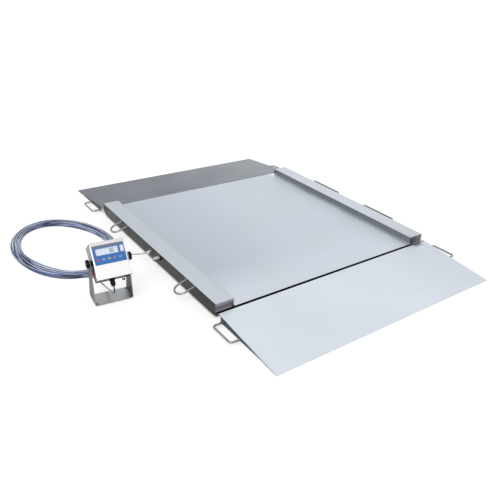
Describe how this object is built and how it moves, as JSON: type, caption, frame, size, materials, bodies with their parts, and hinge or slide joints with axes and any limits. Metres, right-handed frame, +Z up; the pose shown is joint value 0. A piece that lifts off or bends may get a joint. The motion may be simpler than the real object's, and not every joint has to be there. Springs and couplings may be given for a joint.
{
  "type": "ramp scale",
  "caption": "Low drive-through floor scale: flat pan between two side beams, an access ramp at each end, bar handles and a tilting indicator on a bracket with coiled cable.",
  "frame": {"origin": "on the floor, below the middle of the box around everything but the free cable", "axes": "+Y along the drive-through direction, from the front ramp to the rear one; +Z up; +X to the right beam, away from the indicator"},
  "size_m": [2.3934, 2.51, 0.3329],
  "materials": {
    "pan_steel": "satin cross-brushed sheet",
    "beam_steel": "satin sheet, brushed along the beam",
    "front_ramp_steel": "satin sheet",
    "rear_ramp_steel": "satin sheet, duller",
    "plain_steel": "mill finish",
    "bar_steel": "polished round bar",
    "fastener_steel": "turned and cold headed steel",
    "cell_steel": "ground steel",
    "plated_brass": "nickel plated",
    "box_plastic": "moulded, fine grain",
    "circuit_board": "solder mask",
    "lead_jacket": "extruded jacket",
    "plug_plastic": "moulded",
    "housing_steel": "fine bead blasted sheet",
    "gasket_rubber": "closed cell rubber",
    "dark_screw": "blackened",
    "membrane_blue": "printed film",
    "window_clear": "clear, thin",
    "display_panel": "reflective display",
    "key_red": "domed key",
    "key_pale": "domed key",
    "gland_plastic": "moulded",
    "knob_plastic": "moulded, fine grain",
    "bracket_steel": "satin sheet",
    "foot_rubber": "moulded rubber",
    "foot_plastic": "moulded",
    "cable_jacket": "smooth extruded jacket"
  },
  "bodies": {
    "platform": {"weighing_pan": "pan_steel", "pan_ribs": "plain_steel", "left_beam_cover": "beam_steel", "right_beam_cover": "beam_steel", "beam_trays": "plain_steel", "platform_screws": "fastener_steel", "junction_box": "box_plastic", "junction_lid": "box_plastic", "junction_board": "circuit_board", "cell_leads": "lead_jacket", "platform_glands": "plated_brass", "vent_plug": "plug_plastic", "left_beam_handles": "bar_steel", "right_beam_handles": "bar_steel", "cell_spacers": "plain_steel", "cell_bolts": "fastener_steel", "load_cell_front_left": "cell_steel", "load_cell_front_right": "cell_steel", "load_cell_rear_left": "cell_steel", "load_cell_rear_right": "cell_steel", "bracket": "bracket_steel", "bracket_feet": "foot_rubber", "cable_to_indicator": "cable_jacket", "cable_coil": "cable_jacket", "cable_to_beam": "cable_jacket"},
    "indicator": {"rear_shell": "housing_steel", "front_cover": "housing_steel", "cover_gasket": "gasket_rubber", "cover_screws": "dark_screw", "keypad_membrane": "membrane_blue", "display_windows": "window_clear", "display_modules": "display_panel", "main_board": "circuit_board", "indicator_gland": "gland_plastic", "indicator_connector": "plated_brass", "spacer_bushes": "knob_plastic", "pivot_studs": "fastener_steel"},
    "left_knob": {"left_knob": "knob_plastic"},
    "right_knob": {"right_knob": "knob_plastic"},
    "key_power": {"key_power": "key_red"},
    "key_zero": {"key_zero": "key_pale"},
    "key_tare": {"key_tare": "key_pale"},
    "key_print": {"key_print": "key_pale"},
    "key_enter": {"key_enter": "key_pale"},
    "foot_front_left": {"foot_pad_front_left": "foot_plastic", "foot_stud_front_left": "fastener_steel"},
    "foot_front_right": {"foot_pad_front_right": "foot_plastic", "foot_stud_front_right": "fastener_steel"},
    "foot_rear_left": {"foot_pad_rear_left": "foot_plastic", "foot_stud_rear_left": "fastener_steel"},
    "foot_rear_right": {"foot_pad_rear_right": "foot_plastic", "foot_stud_rear_right": "fastener_steel"},
    "front_ramp": {"front_ramp_plate": "front_ramp_steel", "front_ramp_frame": "plain_steel", "front_ramp_pads": "foot_rubber", "front_ramp_handles": "bar_steel"},
    "rear_ramp": {"rear_ramp_plate": "rear_ramp_steel", "rear_ramp_frame": "plain_steel", "rear_ramp_pads": "foot_rubber", "rear_ramp_handles": "bar_steel"}
  },
  "joints": [
    {"name": "indicator_tilt", "type": "hinge", "parent": "platform", "child": "indicator", "pos_m": [-0.97157, -0.269, 0.231], "axis": [0.9945, -0.1045, 0], "range_deg": [-50, 60], "deforming": ["cable_to_indicator"]},
    {"name": "left_knob_turn", "type": "hinge", "parent": "indicator", "child": "left_knob", "pos_m": [-0.97157, -0.269, 0.231], "axis": [-0.9945, 0.1045, 0], "continuous": true},
    {"name": "right_knob_turn", "type": "hinge", "parent": "indicator", "child": "right_knob", "pos_m": [-0.97157, -0.269, 0.231], "axis": [0.9945, -0.1045, 0], "continuous": true},
    {"name": "key_power_press", "type": "slide", "parent": "indicator", "child": "key_power", "axis": [0.0801, 0.7618, -0.6428], "range_m": [0, 0.0006], "stiffness_N_per_m": 400, "springref_m": -0.001},
    {"name": "key_zero_press", "type": "slide", "parent": "indicator", "child": "key_zero", "axis": [0.0801, 0.7618, -0.6428], "range_m": [0, 0.0006], "stiffness_N_per_m": 400, "springref_m": -0.001},
    {"name": "key_tare_press", "type": "slide", "parent": "indicator", "child": "key_tare", "axis": [0.0801, 0.7618, -0.6428], "range_m": [0, 0.0006], "stiffness_N_per_m": 400, "springref_m": -0.001},
    {"name": "key_print_press", "type": "slide", "parent": "indicator", "child": "key_print", "axis": [0.0801, 0.7618, -0.6428], "range_m": [0, 0.0006], "stiffness_N_per_m": 400, "springref_m": -0.001},
    {"name": "key_enter_press", "type": "slide", "parent": "indicator", "child": "key_enter", "axis": [0.0801, 0.7618, -0.6428], "range_m": [0, 0.0006], "stiffness_N_per_m": 400, "springref_m": -0.001},
    {"name": "foot_front_left_level", "type": "slide", "parent": "platform", "child": "foot_front_left", "axis": [0, 0, -1], "range_m": [0, 0.01]},
    {"name": "foot_front_right_level", "type": "slide", "parent": "platform", "child": "foot_front_right", "axis": [0, 0, -1], "range_m": [0, 0.01]},
    {"name": "foot_rear_left_level", "type": "slide", "parent": "platform", "child": "foot_rear_left", "axis": [0, 0, -1], "range_m": [0, 0.01]},
    {"name": "foot_rear_right_level", "type": "slide", "parent": "platform", "child": "foot_rear_right", "axis": [0, 0, -1], "range_m": [0, 0.01]},
    {"name": "front_ramp_lift_off", "type": "slide", "parent": "platform", "child": "front_ramp", "axis": [0, 0, 1], "range_m": [0, 0.25]},
    {"name": "rear_ramp_lift_off", "type": "slide", "parent": "platform", "child": "rear_ramp", "axis": [0, 0, 1], "range_m": [0, 0.25]}
  ]
}
